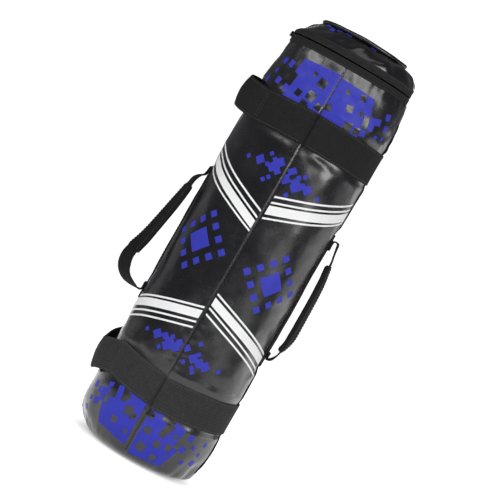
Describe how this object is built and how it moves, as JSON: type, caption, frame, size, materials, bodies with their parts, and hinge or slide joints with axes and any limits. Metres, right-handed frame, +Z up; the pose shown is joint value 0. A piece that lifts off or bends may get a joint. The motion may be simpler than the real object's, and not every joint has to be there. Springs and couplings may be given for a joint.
{
  "type": "weighted training bag",
  "caption": "Soft cylindrical weighted training bag in glossy vinyl with a zipped lid, webbing bands with hand loops, padded side handles and removable filler bags.",
  "frame": {"origin": "centre of the flat base panel's underside", "axes": "+Z up along the bag's axis, -Y out of the front seam, +X to the right of the front"},
  "size_m": [0.284, 0.213, 0.695],
  "materials": {
    "vinyl": "gloss",
    "webbing": "matte",
    "zip_tape": "matte",
    "zip_teeth": "satin",
    "zip_metal": "satin",
    "foam": "matte",
    "filler_cloth": "matte"
  },
  "bodies": {
    "bag": {"shell_panel_left": "vinyl", "shell_panel_right": "vinyl", "base_panel": "vinyl", "front_seam_tape": "webbing", "back_seam_tape": "webbing", "upper_band_left": "webbing", "upper_band_right": "webbing", "lower_band_left": "webbing", "lower_band_right": "webbing", "left_handle_backing": "webbing", "left_handle_upper_tail": "webbing", "left_handle_lower_tail": "webbing", "right_handle_backing": "webbing", "right_handle_upper_tail": "webbing", "right_handle_lower_tail": "webbing", "lid_hinge_strip": "webbing", "filler_closure_lower": "webbing", "filler_closure_middle": "webbing", "filler_closure_upper": "webbing", "filler_loop_lower": "webbing", "filler_loop_middle": "webbing", "filler_loop_upper": "webbing", "zip_tape_lower": "zip_tape", "zip_teeth_lower": "zip_teeth", "zip_stop_left": "zip_metal", "zip_stop_right": "zip_metal", "base_foam": "foam", "foam_liner": "foam", "filler_bag_lower": "filler_cloth", "filler_bag_middle": "filler_cloth", "filler_bag_upper": "filler_cloth"},
    "lid": {"lid_wall": "vinyl", "lid_panel": "vinyl", "lid_piping": "vinyl", "lid_foam": "foam", "zip_tape_upper": "zip_tape", "zip_teeth_upper": "zip_teeth"},
    "left_handle": {"left_handle_strap": "webbing", "left_handle_grip": "webbing"},
    "right_handle": {"right_handle_strap": "webbing", "right_handle_grip": "webbing"},
    "zip_slider": {"zip_slider": "zip_metal"},
    "zip_pull": {"zip_pull": "zip_metal"}
  },
  "joints": [
    {"name": "lid_hinge", "type": "hinge", "parent": "bag", "child": "lid", "pos_m": [0, 0.0975, 0.654], "axis": [-1, 0, 0], "range_deg": [0, 135], "deforming": ["lid_hinge_strip"]},
    {"name": "zip_travel", "type": "hinge", "parent": "bag", "child": "zip_slider", "pos_m": [0, 0, 0.654], "axis": [0, 0, 1], "range_deg": [-37, 267]},
    {"name": "zip_pull_flip", "type": "hinge", "parent": "zip_slider", "child": "zip_pull", "pos_m": [-0.09199, 0.0429, 0.654], "axis": [0, 0, -1], "range_deg": [0, 165]},
    {"name": "left_handle_swing", "type": "hinge", "parent": "bag", "child": "left_handle", "pos_m": [-0.1078, 0, 0.316], "axis": [0, 0, 1], "range_deg": [-51, 15], "deforming": ["left_handle_upper_tail", "left_handle_lower_tail"]},
    {"name": "right_handle_swing", "type": "hinge", "parent": "bag", "child": "right_handle", "pos_m": [0.1078, 0, 0.316], "axis": [0, 0, 1], "range_deg": [-22, 22], "deforming": ["right_handle_upper_tail", "right_handle_lower_tail"]}
  ]
}
